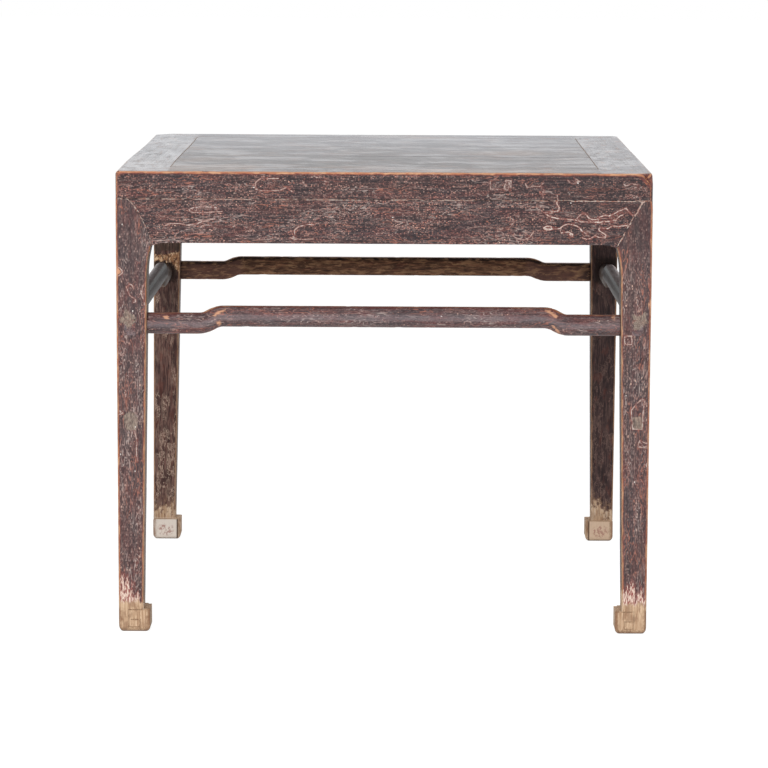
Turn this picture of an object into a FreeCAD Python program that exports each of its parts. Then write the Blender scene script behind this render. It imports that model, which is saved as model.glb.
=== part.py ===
import FreeCAD, Part
import math
import os

# Square table of the eight immortals kind: a frame-and-panel top laid on a base of four
# tapered legs, four aprons flush with the legs and the top, and four humpback stretchers.
# Millimetres, +Z up, the front is -Y, and the origin is on the floor under the middle.

V = FreeCAD.Vector
CENTRE = V(0, 0, 0)

# ---- driving dimensions -------------------------------------------------------------
table_width = 950.0
table_depth = 950.0
table_height = 830.0

# top frame and its floating panel
frame_thickness = 49.0
frame_member_width = 92.0
frame_corner_round = 7.0
frame_arris_round = 6.0
frame_lower_arris = 1.0
frame_inner_arris = 0.8
corner_tenon_width = 40.0
corner_tenon_thickness = 14.0
corner_tenon_from_edge = 35.0
panel_thickness = 15.0
panel_tongue_thickness = 7.0
panel_tongue_length = 9.0
panel_side_play = 1.0
board_seams_y = (-108.0, 138.0)
board_joint_thickness = 4.0
board_joint_length = 5.0
board_joint_height = 5.5

# dovetail battens under the panel, from the front member to the back member
batten_places_x = (-195.0, 207.0)
batten_width = 40.0
batten_depth = 26.0
batten_key_neck = 30.0
batten_key_head = 36.0
batten_key_height = 5.0
batten_tenon_width = 35.0
batten_tenon_height = 17.0

# aprons
apron_height = 78.5
apron_thickness = 22.0
apron_lap_depth = 12.0
apron_end_dip = 5.5
apron_dip_length = 26.0
apron_key_neck = 8.0
apron_key_head = 12.0
apron_key_height = 6.0
apron_key_from_edge = 45.0

# legs: widths are measured inwards from the table's outer faces
shoulder_width = 63.0
leg_width_at_floor = 44.4
leg_taper = 0.017
flare_bottom_z = 645.0
leg_arris_round = 4.0
leg_inner_arris = 2.0
hoof_width = 56.5
hoof_height = 42.0
hoof_bottom_round = 10.0
hoof_notch = 6.5
long_tenon_height = 30.0
short_tenon_height = 15.0
leg_tenon_side = 16.0
leg_tenon_near = 15.0
leg_tenon_far = 35.0

# square scroll cut in the two outer faces of each hoof
scroll_groove_width = 2.0
scroll_groove_depth = 1.4
scroll_low_z = 9.0
scroll_curl_z = 23.0
scroll_curl_from_edge = 39.0
scroll_end_gap = 5.0

# stretchers: no two were fitted quite alike, and the side ones are oval inside as well
stretcher_thickness = 30.0
stretcher_height = 37.0
stretcher_set_back = 8.0
stretcher_outer_bulge = 12.0
stretcher_inner_bulge = {"front": 3.0, "right": 8.0, "back": 3.0, "left": 8.0}
stretcher_end_z = {"front": 538.0, "right": 536.5, "back": 535.0, "left": 533.0}
stretcher_rise = {"front": 13.0, "right": 13.0, "back": 10.0, "left": 16.0}
bend_centre = {"front": 307.0, "right": 305.0, "back": 311.0, "left": 305.0}
bend_half_length = {"front": 22.0, "right": 20.0, "back": 20.0, "left": 20.0}
stretcher_tenon_height = 28.0
stretcher_tenon_near = 14.0
stretcher_tenon_far = 34.0

# loose tenons between the aprons and the top frame
loose_tenon_places = (-300.0, 0.0, 300.0)
loose_tenon_length = 24.0
loose_tenon_thickness = 7.0
loose_tenon_depth = 12.0

# hand work: where each corner's mitre starts on the seam, how far it bows, and how far
# the hoof scroll stands from the outer edge
CORNERS = ("front_left", "front_right", "back_left", "back_right")
mitre_start = {"front_left": 22.0, "front_right": 17.0, "back_left": 20.0, "back_right": 20.0}
mitre_bow = {"front_left": 7.0, "front_right": 1.0, "back_left": 4.0, "back_right": 4.0}
scroll_margin = {"front_left": 18.0, "front_right": 22.5, "back_left": 20.0, "back_right": 20.0}

# ---- dimensions worked out from those -----------------------------------------------
half_width = table_width / 2
half_depth = table_depth / 2
seam_z = table_height - frame_thickness
apron_bottom_z = seam_z - apron_height
cusp_z = apron_bottom_z - apron_end_dip
opening_half_x = half_width - frame_member_width
opening_half_y = half_depth - frame_member_width
panel_bottom_z = table_height - panel_thickness
groove_top_z = panel_bottom_z + panel_tongue_thickness
frame_middle_z = table_height - frame_thickness / 2
batten_tenon_top_z = panel_bottom_z - 0.5
batten_tenon_bottom_z = batten_tenon_top_z - batten_tenon_height
stretcher_middle = stretcher_set_back + stretcher_thickness / 2


def box(x0, x1, y0, y1, z0, z1):
    """A block between two corners."""
    return Part.makeBox(x1 - x0, y1 - y0, z1 - z0, V(x0, y0, z0))


def line(a, b):
    """A straight edge."""
    return Part.LineSegment(a, b).toShape()


def arc(a, through, b):
    """An arc edge through three points."""
    return Part.Arc(a, through, b).toShape()


def corner_arc(centre, radius, start_degrees, sweep_degrees=90.0):
    """A round between two edges of an outline in the X-Z plane."""
    def point(degrees):
        angle = math.radians(degrees)
        return centre + V(radius * math.cos(angle), 0, radius * math.sin(angle))
    return arc(point(start_degrees), point(start_degrees + sweep_degrees / 2),
               point(start_degrees + sweep_degrees))


def tangent_arc(start, end, tangent):
    """An arc that leaves start along tangent, which is a unit vector, and ends at end."""
    chord = end - start
    across = chord - tangent * chord.dot(tangent)
    height = across.Length
    reach = chord.dot(tangent)
    radius = (reach * reach + height * height) / (2 * height)
    normal = across / height
    half = math.atan2(reach, radius - height) / 2
    middle = start + tangent * (radius * math.sin(half)) + normal * (radius * (1 - math.cos(half)))
    return arc(start, middle, end)


def face(edges):
    """A flat face inside a closed run of edges."""
    return Part.Face(Part.Wire(edges))


def swap(shape):
    """The same shape with X and Y exchanged: from a leg's front face to its side face."""
    return shape.mirror(CENTRE, V(1, -1, 0))


def place(shape, corner):
    """Take a shape from the corner frame (outer edge at the origin) to one of four corners."""
    placed = shape.copy()
    placed.translate(V(-half_width, -half_depth, 0))
    if corner.endswith("right"):
        placed = placed.mirror(CENTRE, V(1, 0, 0))
    if corner.startswith("back"):
        placed = placed.mirror(CENTRE, V(0, 1, 0))
    return placed


def cut_all(shape, tools):
    """Cut several tools from a shape."""
    return shape.cut(Part.makeCompound(tools))


# ---- legs ----------------------------------------------------------------------------
def leg_width(z):
    """Width of the tapered part of a leg at a height."""
    return leg_width_at_floor + leg_taper * z


def leg_profile():
    """One view of a leg: straight outer edge, tapered inner edge, flare and hoof."""
    r = hoof_bottom_round
    ankle = V(leg_width(hoof_height), 0, hoof_height)
    flare = V(leg_width(flare_bottom_z), 0, flare_bottom_z)
    cusp = V(shoulder_width, 0, cusp_z)
    upward = flare - ankle
    upward.normalize()
    return face([
        corner_arc(V(r, 0, r), r, 180.0),
        line(V(r, 0, 0), V(hoof_width - r, 0, 0)),
        corner_arc(V(hoof_width - r, 0, r), r, 270.0),
        line(V(hoof_width, 0, r), V(hoof_width, 0, hoof_height)),
        line(V(hoof_width, 0, hoof_height), ankle),
        line(ankle, flare),
        tangent_arc(flare, cusp, upward),
        line(cusp, V(shoulder_width, 0, seam_z)),
        line(V(shoulder_width, 0, seam_z), V(0, 0, seam_z)),
        line(V(0, 0, seam_z), V(0, 0, r)),
    ])


def leg_column():
    """A square column with a rounded outer arris, which rounds the leg from top to foot."""
    side = shoulder_width + 1.0
    column = box(0, side, 0, side, 0, seam_z)
    arris = [e for e in column.Edges if e.CenterOfMass.x < 0.01 and e.CenterOfMass.y < 0.01]
    return column.makeFillet(leg_arris_round, arris)


def long_inner_edges(blank):
    """The three tapered arrises of a leg between its hoof and its flare."""
    found = []
    for edge in blank.Edges:
        z_low, z_high = edge.BoundBox.ZMin, edge.BoundBox.ZMax
        runs_down_leg = z_low < hoof_height + 0.5 and z_high > flare_bottom_z - 0.5
        inner = edge.BoundBox.XMax + edge.BoundBox.YMax > leg_width_at_floor
        if runs_down_leg and inner and z_high < seam_z - 0.5:
            found.append(edge)
    return found


def leg_blank():
    """A leg before any joint is cut, in the corner frame."""
    view = leg_profile().extrude(V(0, shoulder_width, 0))
    blank = view.common(swap(view)).common(leg_column())
    blank = blank.makeChamfer(leg_inner_arris, long_inner_edges(blank))
    far = shoulder_width + 1.0
    notch = hoof_width - hoof_notch
    return blank.cut(box(notch, far, notch, far, -1.0, hoof_height + 1.0))


def apron_lap(corner):
    """The mitred end of an apron that lies in a leg's outer face, in the corner frame."""
    seam_point = V(mitre_start[corner], 0, seam_z)
    cusp = V(shoulder_width, 0, cusp_z)
    chord = seam_point - cusp
    outward = V(chord.z, 0, -chord.x)
    outward.normalize()
    bowed = (seam_point + cusp) * 0.5 + outward * mitre_bow[corner]
    top = V(shoulder_width, 0, seam_z)
    outline = face([line(seam_point, top), line(top, cusp), arc(cusp, bowed, seam_point)])
    return outline.extrude(V(0, apron_lap_depth, 0))


def apron_key(corner):
    """The dovetail key on a leg's core that the apron's end hangs on."""
    root = apron_lap_depth
    tip = apron_lap_depth - apron_key_height
    middle = apron_key_from_edge
    outline = [V(middle - apron_key_neck / 2, root, cusp_z),
               V(middle + apron_key_neck / 2, root, cusp_z),
               V(middle + apron_key_head / 2, tip, cusp_z),
               V(middle - apron_key_head / 2, tip, cusp_z)]
    section = Part.Face(Part.makePolygon([*outline, outline[0]]))
    return section.extrude(V(0, 0, seam_z - cusp_z)).common(apron_lap(corner))


def leg_tenons():
    """The long tenon for the front or back member and the short one for the side member."""
    near, far, side = leg_tenon_near, leg_tenon_far, leg_tenon_side
    long_one = box(far, far + side, near, near + side, seam_z, seam_z + long_tenon_height)
    short_one = box(near, near + side, far, far + side, seam_z, seam_z + short_tenon_height)
    return [long_one, short_one]


def tenon_heights(side):
    """The lowest and highest Z of the end tenons of one side's stretcher."""
    middle = stretcher_end_z[side] + stretcher_height / 2
    return middle - stretcher_tenon_height / 2, middle + stretcher_tenon_height / 2


def stretcher_mortises(corner):
    """A leg's through mortise for the side stretcher and stub mortise for the other."""
    face_side, end_side = corner.split("_")
    near, far = stretcher_tenon_near, stretcher_tenon_far
    reach = shoulder_width + 1.0
    return [box(near, far, -1.0, reach, *tenon_heights(end_side)),
            box(far - 0.01, reach, near, far, *tenon_heights(face_side))]


def scroll_grooves(corner):
    """The square scroll of one hoof, as grooves in the front and the side face."""
    margin = scroll_margin[corner]
    half = scroll_groove_width / 2
    top = hoof_height - half
    path = [(hoof_width + half, top), (margin, top), (margin, scroll_low_z),
            (scroll_curl_from_edge, scroll_low_z), (scroll_curl_from_edge, scroll_curl_z),
            (margin + scroll_end_gap, scroll_curl_z)]
    grooves = []
    for (u0, z0), (u1, z1) in zip(path, path[1:]):
        grooves.append(box(min(u0, u1) - half, max(u0, u1) + half, -1.0, scroll_groove_depth,
                           min(z0, z1) - half, max(z0, z1) + half))
    return grooves + [swap(groove) for groove in grooves]


def leg(corner, blank):
    """A finished leg, in the corner frame."""
    lap = apron_lap(corner)
    key = apron_key(corner)
    body = cut_all(blank, [lap, swap(lap)])
    body = body.fuse([key, swap(key), *leg_tenons()])
    body = cut_all(body, stretcher_mortises(corner))
    return cut_all(body, scroll_grooves(corner)).removeSplitter()


# ---- aprons --------------------------------------------------------------------------
def apron_body(length):
    """The full-thickness part of an apron between two legs' shoulders, front face at y = 0."""
    shoulder = length / 2 - shoulder_width
    dip_end = shoulder - apron_dip_length
    inward = V(1, 0, 0)
    left_dip = tangent_arc(V(-dip_end, 0, apron_bottom_z), V(-shoulder, 0, cusp_z), -inward)
    right_dip = tangent_arc(V(dip_end, 0, apron_bottom_z), V(shoulder, 0, cusp_z), inward)
    outline = face([
        line(V(-shoulder, 0, seam_z), V(shoulder, 0, seam_z)),
        line(V(shoulder, 0, seam_z), V(shoulder, 0, cusp_z)),
        right_dip,
        line(V(dip_end, 0, apron_bottom_z), V(-dip_end, 0, apron_bottom_z)),
        left_dip,
        line(V(-shoulder, 0, cusp_z), V(-shoulder, 0, seam_z)),
    ])
    return outline.extrude(V(0, apron_thickness, 0))


def loose_tenons(length):
    """The loose tenons over one apron, front face at y = 0."""
    middle = apron_thickness / 2
    half = loose_tenon_length / 2
    y0 = middle - loose_tenon_thickness / 2
    y1 = middle + loose_tenon_thickness / 2
    scale = length / table_width
    return [box(x * scale - half, x * scale + half, y0, y1,
                seam_z - loose_tenon_depth, seam_z + loose_tenon_depth)
            for x in loose_tenon_places]


def apron(length, left_corner, right_corner):
    """One apron as seen from outside, front face at y = 0."""
    body = apron_body(length)
    for corner, turned in ((left_corner, False), (right_corner, True)):
        end = apron_lap(corner).cut(apron_key(corner))
        end.translate(V(-length / 2, 0, 0))
        if turned:
            end = end.mirror(CENTRE, V(1, 0, 0))
        body = body.fuse(end)
    return cut_all(body, loose_tenons(length)).removeSplitter()


# ---- stretchers ----------------------------------------------------------------------
def stretcher_section(side, x, z):
    """Section across a stretcher: round outer side at -Y, less round or oval inner side."""
    half_t, half_h = stretcher_thickness / 2, stretcher_height / 2

    def point(y, up):
        return V(x, stretcher_middle + y, z + up)

    outer = stretcher_outer_bulge - half_t
    inner = half_t - stretcher_inner_bulge[side]
    return face([line(point(outer, half_h), point(inner, half_h)),
                 arc(point(inner, half_h), point(half_t, 0), point(inner, -half_h)),
                 line(point(inner, -half_h), point(outer, -half_h)),
                 arc(point(outer, -half_h), point(-half_t, 0), point(outer, half_h))])


def humpback_half(side, reach):
    """The left half of a stretcher: low end, S bend of two turned arcs, raised middle."""
    low = stretcher_end_z[side] + stretcher_height / 2
    high = low + stretcher_rise[side]
    half_length, half_rise = bend_half_length[side], stretcher_rise[side] / 2
    start, end = -bend_centre[side] - half_length, -bend_centre[side] + half_length
    radius = (half_length ** 2 + half_rise ** 2) / (2 * half_rise)
    angle = math.degrees(math.asin(half_length / radius))
    across = V(0, 1, 0)
    low_end = stretcher_section(side, -reach, low).extrude(V(start + reach, 0, 0))
    rising = stretcher_section(side, start, low)
    rising = rising.revolve(V(start, 0, low + radius), across, -angle)
    levelling = stretcher_section(side, end, high)
    levelling = levelling.revolve(V(end, 0, high - radius), across, -angle)
    middle = stretcher_section(side, end, high).extrude(V(-end, 0, 0))
    return low_end.fuse([rising, levelling, middle])


def stretcher(side, length, blanks):
    """One side's stretcher as seen from outside, with the table's outer face at y = 0.

    The blanks are the two legs; the tenons end where they leave them.
    """
    reach = length / 2 - leg_width_at_floor
    half = humpback_half(side, reach)
    body = cut_all(half.fuse(half.mirror(CENTRE, V(1, 0, 0))), blanks)
    through = side in ("left", "right")
    tip = 0.0 if through else stretcher_tenon_far
    z0, z1 = tenon_heights(side)
    rod = box(-length / 2 + tip, length / 2 - tip, stretcher_tenon_near, stretcher_tenon_far, z0, z1)
    return body.fuse([rod.common(blank) for blank in blanks]).removeSplitter()


# ---- the top -------------------------------------------------------------------------
def top_slab():
    """The whole top frame before it is parted at the mitres, with the panel's groove."""
    slab = box(-half_width, half_width, -half_depth, half_depth, seam_z, table_height)
    upright = [e for e in slab.Edges if e.BoundBox.ZLength > frame_thickness / 2]
    slab = slab.makeFillet(frame_corner_round, upright)
    rim = [e for e in slab.Edges if e.BoundBox.ZMin > table_height - 0.01]
    slab = slab.makeFillet(frame_arris_round, rim)
    lower = [e for e in slab.Edges if e.BoundBox.ZMax < seam_z + 0.01]
    slab = slab.makeChamfer(frame_lower_arris, lower)
    hx, hy, depth = opening_half_x, opening_half_y, panel_tongue_length
    opening = box(-hx, hx, -hy, hy, seam_z - 1.0, table_height + 1.0)
    groove = box(-hx - depth, hx + depth, -hy - depth, hy + depth, panel_bottom_z, groove_top_z)
    lip = frame_inner_arris
    bevel = Part.makeLoft([rectangle(hx, hy, table_height - lip),
                           rectangle(hx + lip, hy + lip, table_height)], True)
    return cut_all(slab, [opening, groove, bevel])


def rectangle(half_x, half_y, z):
    """A closed rectangle about the table's middle at a height."""
    corners = [V(-half_x, -half_y, z), V(half_x, -half_y, z),
               V(half_x, half_y, z), V(-half_x, half_y, z)]
    return Part.makePolygon([*corners, corners[0]])


def mitre_wedge(side):
    """The part of the frame that belongs to one member, bounded by the corner mitres."""
    x, y = half_width, half_depth
    inner_x, inner_y = opening_half_x - 1.0, opening_half_y - 1.0
    slope = (x - inner_x) / (y - inner_y)
    outlines = {
        "front": [V(-x - slope, -y - 1, 0), V(x + slope, -y - 1, 0),
                  V(inner_x, -inner_y, 0), V(-inner_x, -inner_y, 0)],
        "left": [V(-x - 1, -y - 1 / slope, 0), V(-inner_x, -inner_y, 0),
                 V(-inner_x, inner_y, 0), V(-x - 1, y + 1 / slope, 0)],
    }
    points = outlines[side]
    wedge = Part.Face(Part.makePolygon([*points, points[0]])).extrude(V(0, 0, frame_thickness + 2))
    wedge.translate(V(0, 0, seam_z - 1))
    return wedge


def corner_tenons():
    """The front member's end tenons, which go through the side members."""
    u0 = corner_tenon_from_edge
    u1 = u0 + corner_tenon_width
    z0 = frame_middle_z - corner_tenon_thickness / 2
    z1 = frame_middle_z + corner_tenon_thickness / 2
    root = u1 + 3.0
    y0, y1 = -half_depth + u0, -half_depth + u1
    left = box(-half_width, -half_width + root, y0, y1, z0, z1)
    return [left, left.mirror(CENTRE, V(1, 0, 0))]


def batten_tenons():
    """The ends of the battens in the front member, as far in as its inner edge."""
    half = batten_tenon_width / 2
    return [box(x - half, x + half, -half_depth, -opening_half_y,
                batten_tenon_bottom_z, batten_tenon_top_z) for x in batten_places_x]


def batten_key(x, reach_y):
    """The dovetail rib on a batten, for the slot under the boards."""
    neck, head = batten_key_neck / 2, batten_key_head / 2
    z0, z1 = panel_bottom_z, panel_bottom_z + batten_key_height
    outline = [V(x - neck, -reach_y, z0), V(x + neck, -reach_y, z0),
               V(x + head, -reach_y, z1), V(x - head, -reach_y, z1)]
    section = Part.Face(Part.makePolygon([*outline, outline[0]]))
    return section.extrude(V(0, 2 * reach_y, 0))


def batten(x):
    """A batten with its dovetail rib and its two through tenons."""
    half = batten_width / 2
    body = box(x - half, x + half, -opening_half_y, opening_half_y,
               panel_bottom_z - batten_depth, panel_bottom_z)
    index = batten_places_x.index(x)
    tenon = batten_tenons()[index]
    pieces = [batten_key(x, opening_half_y), tenon, tenon.mirror(CENTRE, V(0, 1, 0))]
    return body.fuse(pieces).removeSplitter()


def long_member(mortises):
    """The front member: tenons at its ends, mortises for the battens and the joints below."""
    member = top_slab().common(mitre_wedge("front")).fuse(corner_tenons())
    return cut_all(member, [*batten_tenons(), *mortises]).removeSplitter()


def side_member(mortises):
    """The left member: mortised through for the long members' tenons."""
    tenons = corner_tenons()
    tenons += [t.mirror(CENTRE, V(0, 1, 0)) for t in tenons]
    member = top_slab().common(mitre_wedge("left"))
    return cut_all(member, [*tenons, *mortises]).removeSplitter()


def board(y0, y1, front_edge, back_edge):
    """One panel board along X; each long edge is 'frame', 'tongue' or 'groove'."""
    hx = opening_half_x
    tongue = panel_tongue_length
    joint_z0 = panel_bottom_z + board_joint_height
    joint_z1 = joint_z0 + board_joint_thickness
    body = box(-hx, hx, y0, y1, panel_bottom_z, table_height)
    top_rim = [e for e in body.Edges if e.BoundBox.ZMin > table_height - 0.01]
    body = body.makeChamfer(frame_inner_arris, top_rim)
    extra = [box(-hx - tongue, hx + tongue, y0, y1, panel_bottom_z, groove_top_z)]
    cuts = [batten_key(x, opening_half_y) for x in batten_places_x]
    for kind, y, outward in ((front_edge, y0, -1), (back_edge, y1, 1)):
        if kind == "frame":
            tip = y + outward * (tongue - panel_side_play)
            extra.append(box(-hx - tongue, hx + tongue, min(y, tip), max(y, tip),
                             panel_bottom_z, groove_top_z))
        elif kind == "tongue":
            tip = y + outward * board_joint_length
            extra.append(box(-hx, hx, min(y, tip), max(y, tip), joint_z0, joint_z1))
        else:
            root = y - outward * board_joint_length
            cuts.append(box(-half_width, half_width, min(y, root), max(y, root),
                            joint_z0, joint_z1))
    return cut_all(body.fuse(extra), cuts).removeSplitter()


def boards():
    """The three boards of the panel."""
    seam_1, seam_2 = board_seams_y
    return {
        "panel_board_front": board(-opening_half_y, seam_1, "frame", "tongue"),
        "panel_board_middle": board(seam_1, seam_2, "groove", "tongue"),
        "panel_board_back": board(seam_2, opening_half_y, "groove", "frame"),
    }


# ---- assembly ------------------------------------------------------------------------
def turn(shape, quarter_turns, from_outside):
    """Take a shape from its own front view (outer face y = 0) to one side of the table."""
    placed = shape.copy()
    placed.translate(V(0, -from_outside, 0))
    placed.rotate(CENTRE, V(0, 0, 1), 90.0 * quarter_turns)
    return placed


SIDES = {
    # side: quarter turns, its own left and right corners seen from outside
    "front": (0, "front_left", "front_right"),
    "right": (1, "front_right", "back_right"),
    "back": (2, "back_right", "back_left"),
    "left": (3, "back_left", "front_left"),
}


def side_size(side):
    """Length of a side and how far its outer face is from the middle."""
    if side in ("front", "back"):
        return table_width, half_depth
    return table_depth, half_width


def make_table():
    """Every node of the table, by name."""
    nodes = {}
    blank = leg_blank()
    for corner in CORNERS:
        nodes["leg_" + corner] = place(leg(corner, blank), corner)

    keys = []
    for side, (turns, left_corner, right_corner) in SIDES.items():
        length, outside = side_size(side)
        nodes["apron_" + side] = turn(apron(length, left_corner, right_corner), turns, outside)
        keys += [turn(key, turns, outside) for key in loose_tenons(length)]
        own_left = blank.copy()
        own_left.translate(V(-length / 2, 0, 0))
        own_right = own_left.mirror(CENTRE, V(1, 0, 0))
        rail = stretcher(side, length, [own_left, own_right])
        nodes["stretcher_" + side] = turn(rail, turns, outside)
    nodes["apron_loose_tenons"] = Part.makeCompound(keys)

    tenons = [place(t, corner) for corner in CORNERS for t in leg_tenons()]
    front = long_member([*tenons, *keys])
    left = side_member([*tenons, *keys])
    nodes["top_frame_front"] = front
    nodes["top_frame_back"] = front.mirror(CENTRE, V(0, 1, 0))
    nodes["top_frame_left"] = left
    nodes["top_frame_right"] = left.mirror(CENTRE, V(1, 0, 0))
    nodes.update(boards())
    for x, name in zip(batten_places_x, ("batten_left", "batten_right")):
        nodes[name] = batten(x)
    return nodes


def save(nodes):
    """Write one STEP file for each node and print what it holds."""
    os.makedirs("parts", exist_ok=True)
    for name, shape in sorted(nodes.items()):
        shape.exportStep(f"parts/{name}.step")
        print(name, len(shape.Solids), "solid(s)", round(shape.Volume), "mm3", shape.isValid())


save(make_table())
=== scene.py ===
import math
from itertools import count

import bmesh
import bpy
import numpy as np
from mathutils import Matrix, Vector


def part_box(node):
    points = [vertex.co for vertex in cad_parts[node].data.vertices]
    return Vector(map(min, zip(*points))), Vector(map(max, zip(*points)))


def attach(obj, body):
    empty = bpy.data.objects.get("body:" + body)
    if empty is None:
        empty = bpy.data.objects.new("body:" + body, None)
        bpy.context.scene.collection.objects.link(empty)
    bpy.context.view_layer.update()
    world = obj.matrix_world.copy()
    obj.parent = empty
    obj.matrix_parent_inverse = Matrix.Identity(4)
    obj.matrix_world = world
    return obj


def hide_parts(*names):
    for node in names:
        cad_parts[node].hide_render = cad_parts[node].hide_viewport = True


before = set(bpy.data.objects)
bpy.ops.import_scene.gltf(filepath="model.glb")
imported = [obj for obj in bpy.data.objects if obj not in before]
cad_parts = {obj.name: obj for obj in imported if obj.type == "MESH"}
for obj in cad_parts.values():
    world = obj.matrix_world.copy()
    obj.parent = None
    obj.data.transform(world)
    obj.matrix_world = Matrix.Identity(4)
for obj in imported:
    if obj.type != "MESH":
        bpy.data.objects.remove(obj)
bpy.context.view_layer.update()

# ---- the table's own sizes, in metres ----------------------------------------------------
HALF = 0.475  # half the width and half the depth of the top
TOP = 0.830
SEAM = 0.781  # where the top frame lies on the aprons and legs
CUSP = 0.697  # where the curved mitre ends on the leg's inner edge
FLARE = 0.645  # where the leg starts to widen towards the shoulder
SHOULDER = 0.063
HOOF_WIDTH, HOOF_HEIGHT = 0.0565, 0.042
APRON_LOW = 0.7025  # the aprons' lower edge, away from the legs
STRETCHER_HALF = 0.0185  # half the height of a stretcher
BOARD_JOINT = -0.108  # where the front and the middle board of the panel meet
JOINT_DEPTH, JOINT_REACH = 0.0016, 0.007  # how deep, and how far to each side, it has opened
SPLIT_HEIGHT = 581.0  # in mm: a split along the inner faces of the side stretchers, drawn with a painted highlight and painted shade
MM = 1000.0

SIDES = {"front": (0, -1), "back": (0, 1), "left": (-1, 0), "right": (1, 0)}
CORNERS = {
    "front_left": (-1, -1),
    "front_right": (1, -1),
    "back_left": (-1, 1),
    "back_right": (1, 1),
}
# where each corner's mitre starts on the seam and how far it bows, as cut by hand
MITRE_START = {"front_left": 0.022, "front_right": 0.017, "back_left": 0.020, "back_right": 0.020}
MITRE_BOW = {"front_left": 0.007, "front_right": 0.001, "back_left": 0.004, "back_right": 0.004}
# each stretcher's low end, the rise of its hump, and how far from the middle it bends
STRETCHERS = {
    "front": (0.538, 0.013, 0.307),
    "right": (0.5365, 0.013, 0.305),
    "back": (0.535, 0.010, 0.311),
    "left": (0.533, 0.016, 0.305),
}
# how large each corner of the top is worn round, at its tip and along its upright edge
CORNER_WEAR = {"front_left": 0.014, "front_right": 0.034, "back_left": 0.040, "back_right": 0.018}
PLAN_WEAR = {"front_left": 0.006, "front_right": 0.012, "back_left": 0.018, "back_right": 0.006}


# ---- numbers that wander over the wood ---------------------------------------------------
def lattice(cell, seed):
    """A steady number from -1 to 1 for each whole-number place."""
    n = cell.astype(np.int64)
    h = (n[:, 0] * 73856093) ^ (n[:, 1] * 19349663) ^ (n[:, 2] * 83492791) ^ (seed * 40503)
    h = ((h ^ (h >> 13)) * 1274126177) & 0x7FFFFFFF
    h = ((h ^ (h >> 16)) * 668265263) & 0x7FFFFFFF
    return (h % 65521) / 32760.0 - 1.0


def ripple(places, size, seed, layers=1):
    """Smooth noise from about -1 to 1, with swells of that size, a number or one per axis."""
    total, weight, sum_of_weights = np.zeros(len(places)), 1.0, 0.0
    for layer in range(layers):
        q = places / (np.asarray(size, float) / 2**layer) + 11.7 * seed
        low = np.floor(q)
        t = q - low
        t = t * t * (3 - 2 * t)
        value = np.zeros(len(places))
        for corner in range(8):
            step = np.array([corner & 1, corner >> 1 & 1, corner >> 2 & 1])
            share = np.prod(np.where(step, t, 1 - t), axis=1)
            value += share * lattice(low + step, seed + layer)
        total += weight * value
        sum_of_weights += weight
        weight *= 0.55
    return total / sum_of_weights


def rise(value, low, high):
    """0 below low, 1 above high, and a smooth climb between."""
    t = np.clip((value - low) / (high - low), 0, 1)
    return t * t * (3 - 2 * t)


# ---- cutting a CAD solid's mesh into a fine grid -------------------------------------------
def ruling(low, high, step, fine=(), fine_step=0.0012):
    """Places of the cuts from low to high, closer together near the fine places."""
    cuts, at = [], low
    while at < high - 0.4 * step:
        near = min((abs(at - f) for f in fine), default=1.0)
        at += min(step, fine_step + 0.3 * near)
        cuts.append(at)
    return cuts


def slice_up(bm, faces, axis, cuts):
    """Cuts the faces along one axis, halving the list of cuts each time."""
    if not cuts or not faces:
        return
    middle = len(cuts) // 2
    place, normal = Vector(), Vector()
    place[axis], normal[axis] = cuts[middle], 1.0
    edges = {e for f in faces for e in f.edges}
    verts = {v for f in faces for v in f.verts}
    made = bmesh.ops.bisect_plane(
        bm, geom=[*verts, *edges, *faces], dist=1e-6, plane_co=place, plane_no=normal
    )
    lower, upper = [], []
    for f in made["geom"]:
        if isinstance(f, bmesh.types.BMFace):
            ends = [v.co[axis] for v in f.verts]
            (lower if sum(ends) / len(ends) < cuts[middle] else upper).append(f)
    slice_up(bm, lower, axis, cuts[:middle])
    slice_up(bm, upper, axis, cuts[middle + 1 :])


def fine_mesh(node, cuts):
    """A copy of a CAD node's mesh, with its flat faces cut into small ones."""
    bm = bmesh.new()
    bm.from_mesh(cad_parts[node].data)
    bmesh.ops.remove_doubles(bm, verts=bm.verts, dist=2e-6)
    bmesh.ops.dissolve_limit(
        bm, angle_limit=math.radians(0.4), verts=bm.verts[:], edges=bm.edges[:]
    )
    for axis in range(3):
        slice_up(bm, bm.faces[:], axis, cuts[axis])
    mesh = bpy.data.meshes.new(node)
    bm.to_mesh(mesh)
    bm.free()
    return mesh


def rows_of(items, name):
    """What each point or face says under that name, in rows of three."""
    flat = np.empty(len(items) * 3, np.float32)
    items.foreach_get(name, flat)
    return flat.reshape(-1, 3).astype(float)


def soften(mesh, points, share, rounds=3):
    """Rounds the arrises: moves each point towards its neighbours' middle by its share."""
    ends = np.empty(len(mesh.edges) * 2, np.int32)
    mesh.edges.foreach_get("vertices", ends)
    a, b = ends.reshape(-1, 2).T
    total = np.bincount(a, minlength=len(points)) + np.bincount(b, minlength=len(points))
    neighbours = np.maximum(total, 1)[:, None]
    for _ in range(rounds):
        middle = np.zeros_like(points)
        for axis in range(3):
            middle[:, axis] = np.bincount(a, points[b, axis], len(points))
            middle[:, axis] += np.bincount(b, points[a, axis], len(points))
        points = points + share[:, None] * (middle / neighbours - points)
    return points


def keep(mesh, name, values, kind="FLOAT"):
    """Stores a number or a direction at each point, for the finishes to read."""
    field = "value" if kind == "FLOAT" else "vector"
    made = mesh.attributes.new(name, kind, "POINT")
    made.data.foreach_set(field, np.asarray(values, np.float32).ravel())


# ---- how far a point is from the edges and joints that wear ---------------------------------
def insets(p):
    """How far in from the side face and from the front or back face each point is."""
    return HALF - np.abs(p[:, 0]), HALF - np.abs(p[:, 1])


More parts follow.
